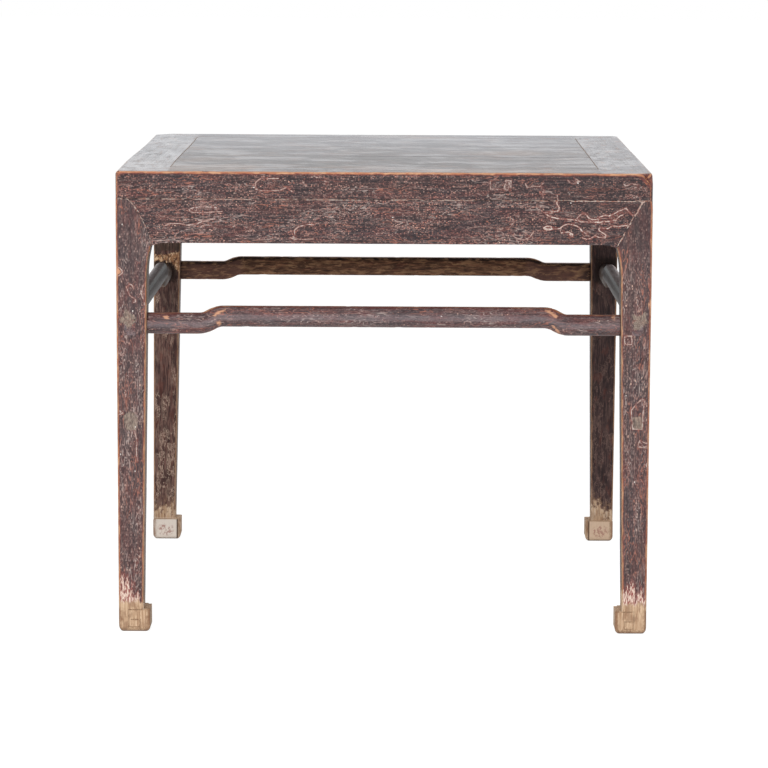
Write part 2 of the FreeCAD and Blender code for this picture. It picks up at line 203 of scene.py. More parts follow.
def leg_width(z):
    flare = np.clip((z - FLARE) / (CUSP - FLARE), 0, 1) ** 2
    straight = 0.0444 + 0.017 * z
    return np.where(z < HOOF_HEIGHT, HOOF_WIDTH, straight + flare * (SHOULDER - straight))


def leg_arris(p):
    u, v = insets(p)
    w = leg_width(p[:, 2])
    outer = np.maximum(u, v)
    inner = np.minimum(
        np.maximum(np.abs(u - w), v),
        np.minimum(np.maximum(u, np.abs(v - w)), np.maximum(np.abs(u - w), np.abs(v - w))),
    )
    return np.where(p[:, 2] < CUSP + 0.004, np.minimum(outer, inner), outer)


def frame_arris(p):
    u, v = insets(p)
    top = 0.8 * np.maximum(np.minimum(u, v), TOP - p[:, 2])
    arris = np.minimum(top, np.maximum(u, v))
    for name, (sx, sy) in CORNERS.items():
        knocked = (p[:, 0] * sx > 0) & (p[:, 1] * sy > 0) & (u + v + TOP - p[:, 2] < CORNER_WEAR[name])
        arris = np.where(knocked, np.minimum(arris, 0.0035), arris)
    return arris


def mitre_gap(p):
    """Distance to the curved mitre between leg and apron, on the table's outer faces."""
    u, v = insets(p)
    along = np.where(v < u, u, v)
    gap = np.full(len(p), 1.0)
    for name, (sx, sy) in CORNERS.items():
        here = (p[:, 0] * sx > 0) & (p[:, 1] * sy > 0)
        start = Vector((MITRE_START[name], SEAM))
        end = Vector((SHOULDER, CUSP))
        chord = end - start
        length, bow = chord.length, MITRE_BOW[name]
        radius = (length**2 / 4 + bow**2) / (2 * bow)
        side = Vector((chord.y, -chord.x)).normalized()
        middle = (start + end) / 2 - side * bow
        centre = middle + side * radius
        d = np.abs(np.hypot(along - centre.x, p[:, 2] - centre.y) - radius)
        gap = np.where(here, d, gap)
    outside = (p[:, 2] > CUSP - 0.003) & (p[:, 2] < SEAM + 0.001)
    return np.where(outside, gap, 1.0)


def seam_gap(p):
    """Distance to the nearest joint line that shows on the outer faces."""
    u, v = insets(p)
    outer = np.minimum(u, v) < 0.004
    return np.where(outer, np.minimum(np.abs(p[:, 2] - SEAM), mitre_gap(p)), 1.0)


# ---- hand work and wear, as shape -----------------------------------------------------------
def hand_worked(p):
    """Moves points as one field, so that joints stay closed: nothing on the table is quite true."""
    out = p.copy()
    for axis, seed in ((0, 3), (1, 4)):
        inward = -np.sign(p[:, axis]) * rise(np.abs(p[:, axis]), 0.30, HALF)
        out[:, axis] += inward * 0.0002 * (1 + ripple(p, 0.16, seed, 2))
    out[:, 2] -= rise(p[:, 2], 0.70, TOP) * 0.0003 * (1 + ripple(p, 0.19, 5, 2))
    # the front left leg leans in towards its foot, the back left one towards the top, and the
    # back right one a little towards its foot
    up, back = np.clip(p[:, 2] / TOP, 0, 1), rise(p[:, 1], -0.3, 0.3)
    lean = 0.0021 * (1 - up) * (1 - back) + (0.0022 + 0.0050 * up) * back
    out[:, 0] += lean * rise(-p[:, 0], 0.30, 0.415)
    out[:, 0] -= (0.0028 - 0.0022 * up) * back * rise(p[:, 0], 0.30, 0.415)
    for name, (sx, sy) in CORNERS.items():
        out = knock_corner(out, p, sx, sy, CORNER_WEAR[name], PLAN_WEAR[name])
    return out


def knock_corner(out, p, sx, sy, size, plan):
    """Rounds one corner of the top by its size, and the frame's upright edge under it."""
    u, v = HALF - sx * p[:, 0], HALF - sy * p[:, 1]
    w = TOP - p[:, 2]
    short = np.maximum(size - (u + v + w), 0)
    cut = short * short / (2.2 * size)
    edge = np.maximum(plan - (u + v), 0) * rise(p[:, 2], SEAM - 0.02, SEAM + 0.005)
    aside = np.minimum(cut + edge * edge / (2.2 * plan), 0.4 * size)
    out = out.copy()
    out[:, 0] -= sx * aside
    out[:, 1] -= sy * aside
    out[:, 2] -= np.minimum(cut, 0.4 * size)
    return out


def worn_arris(p, normal, arris, seed, depth=0.0011):
    """Long shallow hollows and a few deeper chips along the arrises."""
    near = np.exp(-((arris / 0.0034) ** 2))
    long_wear = 0.5 + 0.5 * ripple(p, 0.060, seed, 2)
    chip = rise(ripple(p, 0.013, seed + 7, 2), 0.35, 0.75)
    return -normal * (near * depth * (0.45 * long_wear + 1.1 * chip))[:, None]


def worn_to(p):
    """The height in mm up to which the lacquer of the feet is gone, higher on some sides."""
    inner = rise(np.abs(p[:, 0]), 0.460, 0.444)
    left, front = p[:, 0] < 0, p[:, 1] < 0
    height = np.where(left, 96 - 34 * inner, 78 + 8 * inner)
    return np.where(front, height, np.where(left, 66 + 6 * inner, 64 + 20 * inner))


def dressed(node, cuts, arris_of, grain, finishes, seed, soft=0.5):
    """Replaces a CAD node by its worn self: same place and form, with an old surface."""
    mesh = fine_mesh(node, cuts)
    mesh.name = node + "_worn"
    p = rows_of(mesh.vertices, "co")
    arris = arris_of(p)
    moved = soften(mesh, p, soft * (1 - rise(arris, 0.001, 0.0045)))
    mesh.vertices.foreach_set("co", moved.astype(np.float32).ravel())
    mesh.update()
    normal = rows_of(mesh.vertex_normals, "vector")
    out = moved + worn_arris(p, normal, arris, seed)
    out -= normal * (0.00010 * (1 + ripple(p, 0.021, seed + 3, 2)))[:, None]
    bare = keep_marks(mesh, p, normal)
    if node.startswith("leg"):
        out = hoof_wear(p, splinters(p, out, normal, bare))
    # towards the right the boards' joint nearer the front has opened, and its edges are rubbed
    opened = node.startswith("panel") * rise(p[:, 0], -0.08, 0.0) * (p[:, 2] > TOP - 0.002)
    gap = np.abs(p[:, 1] - BOARD_JOINT)
    out[:, 2] -= JOINT_DEPTH * opened * (1 - rise(gap, 0.0, JOINT_REACH))
    out = hand_worked(out)
    mesh.vertices.foreach_set("co", out.astype(np.float32).ravel())
    u, v = insets(p)
    # points inside the incised groove of the feet, which the finishes darken as painted shade
    sunk = rise(np.minimum(u, v), 0.0006, 0.0012) * (np.minimum(u, v) < 0.0018)
    keep(mesh, "groove", sunk * (p[:, 2] < 0.045))
    keep(mesh, "foot", p[:, 2] * MM - worn_to(p))
    keep(mesh, "grain", p[:, list(grain)] * MM + 173.0 * seed, "FLOAT_VECTOR")
    keep(mesh, "place", p * MM, "FLOAT_VECTOR")
    keep(mesh, "arris", arris * MM)
    keep(mesh, "seam", np.minimum(seam_gap(p) * MM, 50))
    keep(mesh, "joint", np.where(opened > 0.3, gap * MM, 50))
    for finish in finishes:
        mesh.materials.append(finish)
    mesh.shade_smooth()
    mesh.update()
    piece = bpy.data.objects.new(node + "_worn", mesh)
    bpy.context.scene.collection.objects.link(piece)
    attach(piece, "root")
    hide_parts(node)
    mesh.set_sharp_from_angle(angle=math.radians(40))
    return piece


# ---- finishes ---------------------------------------------------------------------------------
def tint(red, green, blue):
    """A colour as it is seen, 0 to 255, as the shader's own numbers."""
    return tuple(
        c / 12.92 if c <= 0.04045 else ((c + 0.055) / 1.055) ** 2.4
        for c in (red / 255, green / 255, blue / 255)
    ) + (1.0,)


class Strand:
    """A value on its way through a finish, with the usual arithmetic."""

    def __init__(self, finish, socket):
        self.finish, self.socket = finish, socket

    def other(self, out):
        """Another output of the same node."""
        return Strand(self.finish, self.socket.node.outputs[out])

    def sum(self, operation, *values):
        return self.finish.add("ShaderNodeMath", {"operation": operation}, dict(enumerate(values)))

    def __add__(self, other):
        return self.sum("ADD", self, other)

    __radd__ = __add__

    def __sub__(self, other):
        return self.sum("SUBTRACT", self, other)

    def __rsub__(self, other):
        return self.sum("SUBTRACT", other, self)

    def __mul__(self, other):
        return self.sum("MULTIPLY", self, other)

    __rmul__ = __mul__

    def __abs__(self):
        return self.sum("ABSOLUTE", self)


class Finish:
    """The nodes of one finish."""

    def __init__(self, tree):
        self.tree = tree
        self.tree.nodes.clear()

    def add(self, kind, settings=None, values=None, out=0):
        """Adds a node: its settings first, then the values or links of its sockets."""
        node = self.tree.nodes.new(kind)
        for name, value in (settings or {}).items():
            setattr(node, name, value)
        for name, value in (values or {}).items():
            if isinstance(value, Strand):
                self.tree.links.new(value.socket, node.inputs[name])
            else:
                node.inputs[name].default_value = value
        return Strand(self, node.outputs[out]) if node.outputs else node

    def read(self, name, out="Fac"):
        return self.add("ShaderNodeAttribute", {"attribute_name": name}, {}, out)

    def vector(self, operation, *values, out=0):
        settings = {"operation": operation}
        return self.add("ShaderNodeVectorMath", settings, dict(enumerate(values)), out)

    def ray(self, kind):
        """1 for rays of that kind, such as the camera's own, and 0 for others."""
        return self.add("ShaderNodeLightPath", {}, {}, f"Is {kind} Ray")

    def spread(self, place, along, across, shift=0.0):
        """The grain's coordinates, with swells of that many mm along and across it."""
        scale = (1 / along, 1 / across, 1 / across)
        return self.vector("MULTIPLY_ADD", place, scale, (shift, shift * 0.7, -shift))

    def noise(self, vector, detail=2.0, roughness=0.5, out=0):
        values = {"Vector": vector, "Scale": 1.0, "Detail": detail, "Roughness": roughness}
        return self.add("ShaderNodeTexNoise", {}, values, out)

    def cells(self, vector, disorder=1.0):
        values = {"Vector": vector, "Scale": 1.0, "Randomness": disorder}
        return self.add("ShaderNodeTexVoronoi", {}, values, "Distance")

    def climb(self, value, low, high, to_low=0.0, to_high=1.0):
        values = {"Value": value, 1: low, 2: high, 3: to_low, 4: to_high}
        return self.add("ShaderNodeMapRange", {"interpolation_type": "SMOOTHSTEP"}, values)

    def part(self, vector, axis):
        return self.add("ShaderNodeSeparateXYZ", {}, {0: vector}, axis)

    def blend(self, amount, under, over):
        """Colour over laid on colour under."""
        return self.add("ShaderNodeMix", {"data_type": "RGBA"}, {0: amount, 6: under, 7: over}, 2)

    def most(self, first, *others):
        for other in others:
            first = first.sum("MAXIMUM", first, other)
        return first


def new_finish(name):
    material = bpy.data.materials.new(name)
    material.use_nodes = True
    return material, Finish(material.node_tree)


SPECULAR = "Specular IOR Level"


def close_finish(f, colour, roughness, height, depth_mm, gloss):
    """Ends a finish in one shader with a bump of that depth; gloss is its sheen's values."""
    values = {"Strength": 1.0, "Distance": depth_mm / MM, "Height": height}
    bump = f.add("ShaderNodeBump", {}, values)
    values = {"Base Color": colour, "Roughness": roughness, "Normal": bump, **gloss}
    shader = f.add("ShaderNodeBsdfPrincipled", {}, values)
    f.add("ShaderNodeOutputMaterial", {}, {"Surface": shader})


def bare_wood(f, g):
    """Colour and grain of tan wood rubbed bare, a little dirty here and there."""
    grain = f.noise(f.spread(g, 46.0, 1.4), 3.0, 0.6)
    broad = f.noise(f.spread(g, 26.0, 11.0, 3.0), 3.0, 0.6)
    colour = f.blend(f.climb(grain, 0.36, 0.62), tint(162, 128, 100), tint(208, 180, 150))
    colour = f.blend(f.climb(broad, 0.46, 0.62, 0, 0.6), colour, tint(136, 103, 80))
    return colour, grain


def lacquer(name, tones, flecks, red_share, dots, threads, shores, cell, sheen=0.0, specular=0.3):
    """Dark crackled lacquer over a red ground, flaked to a pale one and worn through at edges.

    tones are dark, warm and grey; flecks the two colours of what shows through the crackle; dots,
    threads and shores say how strong the flecks, the long lines and the flaked outlines are; sheen
    how strong a painted sheen is, away from the arrises.
    """
    material, f = new_finish(name)
    g, place = f.read("grain", "Vector"), f.read("place", "Vector")
    across, height = f.part(place, 0), f.part(place, 2)
    dark, warm, grey = tones
    red, rust, pale, deep = tint(112, 58, 54), tint(158, 102, 86), tint(200, 186, 176), tint(36, 30, 33)

    broad = f.noise(f.spread(g, 120.0, 22.0), 3.0, 0.55)
    streak = f.noise(f.spread(g, 30.0, 2.4, 5.0), 3.0, 0.6)
    fine = f.noise(f.spread(g, 7.0, 1.3, 31.0), 2.0, 0.6)
    thread = f.noise(f.spread(g, 60.0, 2.6, 35.0), 2.0, 0.55)
    zone = f.noise(f.spread(g, 64.0, 13.0, 95.0), 3.0, 0.55)
    colour = f.blend(f.climb(broad, 0.38, 0.62), dark, warm)
    colour = f.blend(f.climb(zone, 0.50, 0.62) * red_share, colour, red)
    colour = f.blend(f.climb(zone, 0.47, 0.36) * 0.3, colour, deep)
    colour = f.blend(f.climb(streak, 0.50, 0.66) * red_share, colour, red)
    colour = f.blend(f.climb(fine, 0.52, 0.68) * 0.5, colour, grey)
    colour = f.blend(f.climb(fine, 0.47, 0.32) * 0.6, colour, deep)
    colour = f.blend(f.climb(thread, 0.46, 0.39) * 0.75 * threads, colour, deep)
    colour = f.blend(f.climb(thread, 0.56, 0.64) * 0.55 * threads, colour, grey)

    # crackle: a mosaic of small cells, each rubbed to its own paleness, more so in bands
    wobble = f.noise(f.spread(g, 9.0, 7.0, 9.0), 1.0, 0.5, 1)
    crackle = f.cells(f.vector("MULTIPLY_ADD", wobble, (0.8, 0.8, 0.8), f.spread(g, *cell)), 0.85)
    luck = crackle.other("Color")
    dice, hue = f.part(luck, 0), f.part(luck, 1)
    band = f.noise(f.spread(g, 90.0, 4.6, 7.0), 3.0, 0.6)
    patchy = f.noise(f.spread(g, 110.0, 30.0, 19.0), 2.0, 0.5)
    opened = f.climb(band, 0.40, 0.60) * f.climb(patchy, 0.38, 0.58, 0.2, 1.0)
    fleck = f.climb(crackle, 0.62, 0.20) * f.climb(dice + 0.55 * opened, 0.46, 1.45) * dots
    spark = f.climb(crackle, 0.50, 0.30) * f.climb(dice, 0.95, 0.96) * opened
    crack = f.climb(crackle, 0.40, 0.66)
    colour = f.blend(f.climb(dice, 0.45, 0.05) * 0.7 * dots, colour, deep)
    colour = f.blend(crack * 0.5 * dots, colour, deep)
    colour = f.blend(fleck, colour, f.blend(hue, *flecks))
    colour = f.blend(spark * 0.6, colour, tint(214, 176, 156))

    # contour lines of the wood that have sunk into the coat, low on the aprons and in places
    swirl = f.noise(f.spread(g, 62.0, 13.0, 41.0), 2.0, 0.5) * 10.0
    ring = abs(f.part(f.vector("FRACTION", swirl), 0) - 0.5)
    sunk = f.noise(f.spread(g, 70.0, 20.0, 47.0), 2.0, 0.5) + f.climb(height, 738.0, 722.0, 0.0, 0.07)
    ring = f.climb(ring, 0.36, 0.47) * f.climb(sunk, 0.50, 0.60)
    sunken = f.blend(f.climb(patchy, 0.45, 0.55), rust, tint(164, 148, 142))
    colour = f.blend(ring * 0.7, colour, sunken)

    # meandering edges of flaked places, and the listed marks
    shore = f.noise(f.spread(g, 26.0, 11.0, 13.0), 3.0, 0.55)
    reach = f.climb(f.noise(f.spread(g, 90.0, 34.0, 17.0), 2.0, 0.5), 0.54, 0.64) * shores
    off = abs(shore - 0.56)
    tremble = f.noise(f.spread(g, 4.0, 4.0, 61.0), 2.0, 0.6, 1)
    shaken = f.vector("MULTIPLY_ADD", tremble, (2.6, 0.0, 2.6), (-1.3, 0.0, -1.3))
    way = f.vector("ADD", f.read("lines", "Vector"), shaken)
    line = f.vector("LENGTH", f.vector("MULTIPLY", way, (1, 0, 1)), out="Value")
    near = f.climb(f.part(way, 1), 6.0, 4.0) * f.climb(height, 690.0, 700.0, 0.65, 0.9)
    near = near * f.most(
        f.climb(across, 200.0, 285.0, 0.3, 1.0) * f.climb(height, 785.0, 781.0, 0.6, 1.0),
        f.climb(height, 781.0, 785.0, 0.0, 0.55),
        f.climb(height, 700.0, 690.0),
        f.climb(across, 20.0, -60.0) * 0.7,
    )
    red_line = f.most(f.climb(off, 0.040, 0.012) * reach, f.climb(line, 2.8, 1.2) * near)
    pale_line = f.most(f.climb(off, 0.014, 0.004) * reach, f.climb(line, 1.25, 0.4) * near)
    broken = f.climb(f.noise(f.spread(g, 7.0, 7.0, 23.0), 3.0, 0.65), 0.38, 0.56, 0.1, 0.95)
    right_end = f.climb(across, 240.0, 330.0) * f.climb(height, 690.0, 700.0)
    colour = f.blend(right_end * 0.32, colour, deep)
    colour = f.blend(red_line * 0.65, colour, tint(120, 58, 50))
    ridge = f.blend(hue, tint(214, 206, 198), tint(188, 162, 148))
    colour = f.blend(pale_line * broken, colour, ridge)
    filled = f.climb(f.read("patch") + 7.0 * (streak - 0.5), -0.6, 1.2)
    putty = f.blend(f.climb(fine, 0.35, 0.62), tint(94, 80, 74), tint(158, 144, 128))
    colour = f.blend(filled * 0.6, colour, putty)
    chip = f.cells(f.spread(g, 26.0, 15.0, 83.0))
    chip = f.climb(chip, 0.075, 0.04) * f.climb(f.part(chip.other("Color"), 0), 0.74, 0.76)
    colour = f.blend(chip * 0.9, colour, tint(214, 206, 200))

    # joint lines: chipped, with pale dust, more so towards the right end
    seam = f.read("seam")
    chipped = f.climb(f.noise(f.spread(g, 20.0, 9.0, 53.0), 3.0, 0.65), 0.44, 0.54)
    dust_and_sheen = f.climb(across, 220.0, 320.0, 0.75, 0.95) * f.climb(height, 690.0, 700.0)
    colour = f.blend(f.climb(seam, 3.4, 1.2) * 0.5, colour, deep)
    colour = f.blend(f.climb(seam, 1.8, 0.7) * chipped * dust_and_sheen, colour, f.blend(hue, pale, rust))

    # bare wood on the arrises and at the feet, through red and then a pale ground
    wood, wood_grain = bare_wood(f, g)
    ragged = f.noise(f.spread(g, 24.0, 4.5, 29.0), 4.0, 0.65)
    arris, foot = f.read("arris"), f.read("foot")
    # painted sheen: a lighter grey colour away from the arrises, across the middle of the round faces, as
    # strong as sheen says
    glow = f.climb(arris, 13.0, 20.0) * sheen
    colour = f.blend(glow, colour, f.blend(fine, tint(116, 106, 110), tint(158, 148, 152)))
    edge = arris - 6.0 * (ragged - 0.5)
    low = foot + 120.0 * (ragged - 0.5)
    spot = f.climb(f.read("bare") + 12.0 * (streak - 0.5), -0.8, 1.6)
    rim = f.most(f.climb(edge, 5.4, 3.2) * 0.8, f.climb(low, 18.0, -2.0))
    ground = f.climb(low, 2.0, -8.0)
    worn = f.climb(edge, 3.5, 2.1)
    base = f.climb(height + 26.0 * (ragged - 0.5), 60.0, 52.0)
    colour = f.blend(rim * 0.75, colour, red)
    chalk = f.blend(f.climb(fine, 0.42, 0.58), tint(138, 76, 70), tint(222, 200, 184))
    colour = f.blend(ground, colour, chalk)
    ember = f.climb(f.noise(f.spread(g, 20.0, 20.0, 59.0), 3.0, 0.6), 0.40, 0.58)
    rubbed = f.blend(ember, f.blend(0.6, wood, tint(190, 134, 98)), tint(166, 108, 80))
    colour = f.blend(worn, colour, rubbed)
    colour = f.blend(spot * 0.8, colour, f.blend(fine, tint(176, 116, 88), tint(224, 178, 144)))
    colour = f.blend(base, colour, wood)
    hoof = f.climb(height, 48.0, 40.0)
    # darker near the arrises of the feet
    darker_hoof_edge = f.climb(arris + 18.0 * (f.noise(f.spread(g, 9.0, 9.0, 79.0), 3.0, 0.65) - 0.5), 9.0, 1.5)
    colour = f.blend(darker_hoof_edge * hoof * 0.75, colour, tint(126, 92, 68))
    # painted shade in the incised groove of the feet
    colour = f.blend(f.read("groove") * 0.22, colour, tint(100, 74, 54))
    colour = f.blend(f.climb(height + 5.0 * (ragged - 0.5), 4.5, 0.5) * 0.7, colour, tint(96, 66, 52))

    bare = f.most(worn, base, spot)
    relief = 0.25 * fine + 0.25 * streak + 0.45 * (1 - crack * dots) - 0.2 * fleck
    relief = relief - 0.5 * f.climb(shore, 0.55, 0.57) * reach - 0.3 * filled - 0.5 * chip
    relief = relief * (1 - bare) + bare * (0.5 * wood_grain - 0.5)
    rough = 0.42 + 0.2 * bare + 0.15 * fleck + 0.25 * (broad - 0.5)
    close_finish(f, colour, rough, relief, 0.30, {SPECULAR: specular})
    return material


def shaded_side(
    name, dark, light, wear_and_sheen_tint, share=0.5, flaky=0.0, specular=0.12, painted_lip_highlight=None, end_tint=None
):
    """Faces turned to the inside: thin brown-black wash over the wood, flaked, with dust on it.

    share and flaky say how many worn outlines and how many small flakes show; painted_lip_highlight is the
    colour of a painted highlight on the lip of a split along the grain, in place of bare arrises,
    end_tint for a stretcher's ends.
    """
    material, f = new_finish(name)
    g, place = f.read("grain", "Vector"), f.read("place", "Vector")
    across, depth, height = f.part(place, 0), f.part(place, 1), f.part(place, 2)
    broad = f.noise(f.spread(g, 60.0, 16.0), 3.0, 0.55)
    grain = f.noise(f.spread(g, 26.0, 1.8, 5.0), 3.0, 0.6)
    stain = f.noise(f.spread(g, 30.0, 12.0, 11.0), 3.0, 0.55)
    chaff = f.noise(f.spread(g, 20.0, 6.5, 43.0), 4.0, 0.7)
    colour = f.blend(f.climb(grain, 0.36, 0.66), dark, light)
    colour = f.blend(f.climb(broad, 0.48, 0.62, 0, 0.7), colour, dark)
    colour = f.blend(f.climb(stain, 0.55, 0.66, 0, 0.35), colour, tint(104, 58, 48))
    colour = f.blend(f.climb(chaff, 0.44, 0.36) * flaky, colour, dark)
    if end_tint:
        along = across.sum("MINIMUM", abs(across), abs(depth))
        colour = f.blend(f.climb(along, 282.0, 296.0) * 0.6, colour, end_tint)
        colour = f.blend(f.climb(along, 390.0, 412.0) * 0.5, colour, tint(30, 24, 24))
        # darker along the upper edge of the inner face, all along the stretcher
        darker_upper_edge = f.climb(height - f.climb(along, 290.0, 332.0, 578.0, 568.0), -4.0, 0.0)
        colour = f.blend(darker_upper_edge * f.climb(abs(across), 440.0, 430.0) * 0.8, colour, tint(24, 19, 20))
    thin = f.noise(f.spread(g, 34.0, 9.0, 51.0), 3.0, 0.6)
    colour = f.blend(f.climb(thin, 0.50, 0.62) * flaky * 0.6, colour, wear_and_sheen_tint)
    colour = f.blend(f.climb(chaff, 0.53, 0.64) * flaky * 0.8, colour, wear_and_sheen_tint)
    shore = f.noise(f.spread(g, 18.0, 7.0, 13.0), 3.0, 0.6)
    lower = f.climb(height, 420.0, 200.0, -0.06, 0.10)
    reach = f.climb(f.noise(f.spread(g, 50.0, 24.0, 17.0), 2.0, 0.5) + lower, 0.48, 0.58)
    colour = f.blend(f.climb(abs(shore - 0.54), 0.040, 0.010) * reach * share, colour, wear_and_sheen_tint)
    colour = f.blend(f.climb(shore, 0.60, 0.66) * reach * share * 0.6, colour, wear_and_sheen_tint)
    wood = bare_wood(f, g)[0]
    ragged = f.noise(f.spread(g, 24.0, 4.5, 29.0), 4.0, 0.65)
    mottle = f.noise(f.spread(g, 12.0, 7.0, 73.0), 4.0, 0.7)
    arris = f.read("arris")
    low = f.read("foot") + 110.0 * (mottle - 0.5)
    torn = f.climb(f.read("bare") + 24.0 * (mottle - 0.5), -1.0, 2.5)
    pale_wood = f.blend(f.climb(grain, 0.48, 0.60) * 0.6, wood, tint(220, 200, 178))
    if painted_lip_highlight:
        # a straight split along the grain, drawn with painted light: a painted highlight on its lip,
        # painted light above it and painted shade under it
        over = height + 5.0 * (ragged - 0.5) - SPLIT_HEIGHT
        colour = f.blend(f.climb(over, -1.0, 2.0) * 0.45, colour, light)
        colour = f.blend(f.climb(abs(over + 7.0), 5.0, 2.0) * 0.75, colour, dark)
        colour = f.blend(f.climb(abs(over), 3.4, 1.4), colour, painted_lip_highlight)
    else:
        edge = f.climb(arris - 6.0 * (ragged - 0.5), 3.4, 1.8)
        colour = f.blend(edge * 0.8, colour, f.blend(0.5, wood, tint(150, 104, 72)))
    colour = f.blend(f.climb(low, 16.0, -2.0) * 0.7, colour, tint(124, 96, 78))
    bare = f.climb(low, 0.0, -14.0)
    colour = f.blend(bare * 0.9, colour, pale_wood)
    fibre = f.noise(f.spread(g, 8.0, 4.0, 67.0), 3.0, 0.7)
    splinter = f.blend(f.climb(mottle, 0.48, 0.60), tint(170, 124, 90), tint(248, 212, 172))
    splinter = f.blend(f.climb(fibre, 0.50, 0.42) * 0.9, splinter, tint(78, 50, 42))
    colour = f.blend(torn * 0.95, colour, splinter)
    # painted shade under the apron: a dark olive band at the top of the left legs' inner faces
    under = f.climb(height, 592.0, 598.0) * f.climb(across, -380.0, -400.0)
    colour = f.blend(under * 0.6, colour, tint(62, 54, 46))
    # grime and painted shade beside the side stretchers' ends, where they meet the legs
    grime_and_painted_shade = f.climb(height + 30.0 * (mottle - 0.5), 526.0, 540.0) * f.climb(height, 592.0, 580.0)
    grime_and_painted_shade = grime_and_painted_shade * f.climb(abs(across), 424.0, 434.0) * f.climb(abs(depth), 423.0, 422.0)
    colour = f.blend(grime_and_painted_shade * (1 - torn) * 0.8, colour, tint(28, 18, 15))
    # the feet: inner faces pale with dust, rosy flakes in the middle, a brown strip at the edge, and a line
    # of painted shade where the strip steps back
    flake = f.noise(f.spread(g, 5.0, 5.0, 37.0), 3.0, 0.65)
    hoof = f.climb(height, 44.0, 41.0)
    strip = f.climb(abs(across), 425.6, 424.6)
    right = f.climb(across, -10.0, 10.0)
    aside, up = (abs(across) - 449.0) * 0.06, (height - 21.0) * 0.075
    middle = f.climb(aside * aside + up * up, 1.4, 0.4)
    dust_and_sheen = f.blend(right, tint(224, 214, 204), tint(204, 178, 154))
    colour = f.blend(hoof * (1 - strip) * 0.88, colour, dust_and_sheen)
    colour = f.blend(hoof * middle * f.climb(flake, 0.49, 0.58) * 0.75, colour, tint(156, 108, 98))
    # darker near the arrises of the feet
    darker_hoof_edge = f.climb(arris + 16.0 * (mottle - 0.5), 9.0, 2.0) * hoof
    colour = f.blend(darker_hoof_edge * 0.8, colour, tint(132, 98, 74))
    # painted shade: a dark line in the corner where the inner strip of the feet steps back from the face
    line = f.climb(abs(abs(across) - 425.6), 1.6, 0.6) * hoof
    colour = f.blend(line * 0.8, colour, tint(70, 50, 40))
    colour = f.blend(f.climb(height + 5.0 * (ragged - 0.5), 4.5, 0.5) * 0.7, colour, tint(96, 66, 52))
    rough = 0.50 + 0.2 * (grain - 0.5) + 0.1 * bare
    relief = grain + 0.5 * shore + 0.4 * bare
    close_finish(f, colour, rough, relief, 0.35, {SPECULAR: specular})
    return material


def rubbed_top():
    """The top: lacquer rubbed thin over open grain, with a blue-grey sheen, part of it painted into the
    colour towards the back and on the side members.
    """
    material, f = new_finish("rubbed_top")
    g, place = f.read("grain", "Vector"), f.read("place", "Vector")
    across, depth = f.part(place, 0), f.part(place, 1)
    grain = f.noise(f.spread(g, 90.0, 1.8), 4.0, 0.6)
    streak = f.noise(f.spread(g, 150.0, 80.0, 5.0), 4.0, 0.65)
    blotch = f.noise(f.spread(g, 50.0, 22.0, 9.0), 4.0, 0.7)
    wide = f.noise(f.spread(g, 300.0, 180.0, 15.0), 3.0, 0.55)
    pore = f.noise(f.spread(g, 240.0, 3.6, 33.0), 3.0, 0.6)
    colour = f.blend(f.climb(grain, 0.40, 0.60), tint(66, 62, 65), tint(106, 104, 108))
    colour = f.blend(f.climb(pore, 0.46, 0.38) * 0.6, colour, tint(48, 41, 41))
    colour = f.blend(f.climb(pore, 0.56, 0.64) * 0.5, colour, tint(134, 130, 132))
    colour = f.blend(f.climb(streak, 0.48, 0.62) * 0.45, colour, tint(132, 131, 136))
    colour = f.blend(f.climb(streak, 0.46, 0.36) * 0.5, colour, tint(50, 46, 48))
    colour = f.blend(f.climb(wide, 0.46, 0.36) * 0.45, colour, tint(56, 49, 49))
    colour = f.blend(f.climb(wide, 0.50, 0.62) * 0.5, colour, tint(122, 104, 94))
    # painted sheen: the top's colour turns lighter and bluer towards the back
    colour = f.blend(f.climb(depth, -250.0, 475.0) * 0.5, colour, tint(150, 152, 160))
    # the side members of the frame: a lighter, bluer mottling, partly dust and partly a painted sheen
    side = f.climb(abs(across), 381.0, 385.0)
    dust_and_sheen = f.blend(f.climb(across, -10.0, 10.0), tint(166, 167, 172), tint(134, 133, 138))
    colour = f.blend(side * f.climb(blotch, 0.32, 0.50) * 0.75, colour, dust_and_sheen)
    colour = f.blend(side * f.climb(blotch, 0.42, 0.34) * 0.35, colour, tint(84, 78, 78))
    colour = f.blend(side * f.climb(pore, 0.46, 0.38) * 0.35, colour, tint(74, 66, 64))
    speck = f.climb(f.noise(f.spread(g, 56.0, 12.0, 27.0), 3.0, 0.7), 0.56, 0.64)
    front = f.climb(depth, -330.0, -470.0, 0.5, 1.0)
    colour = f.blend(speck * front * 0.8, colour, tint(136, 98, 80))
    joint = f.climb(f.read("joint") + 4.0 * (grain - 0.5), 6.0, 2.0)
    colour = f.blend(joint * 0.8, colour, tint(60, 44, 40))
    wood = bare_wood(f, g)[0]
    ragged = f.noise(f.spread(g, 12.0, 6.0, 29.0), 4.0, 0.65)
    edge = f.climb(depth, -455.0, -462.0, 0.35, 1.0)
    worn = f.climb(f.read("arris") - 7.0 * (ragged - 0.5), 4.6, 2.6) * edge
    colour = f.blend(worn * 0.9, colour, f.blend(0.6, wood, tint(176, 112, 80)))
    colour = f.blend(f.climb(f.read("seam"), 1.6, 0.5) * 0.8, colour, tint(58, 48, 46))
    rough = 0.38 + 0.25 * (streak - 0.5) + 0.3 * (blotch - 0.5) + 0.15 * worn
    relief = 0.6 * grain + 0.5 * pore + 0.7 * streak + blotch
    waxed = f.climb(blotch + 0.7 * streak, 0.78, 1.0, 0.0, 0.6) * (1 - worn)
    close_finish(f, colour, rough, relief, 0.8, {"Coat Weight": waxed, "Coat Roughness": 0.25})
    return material


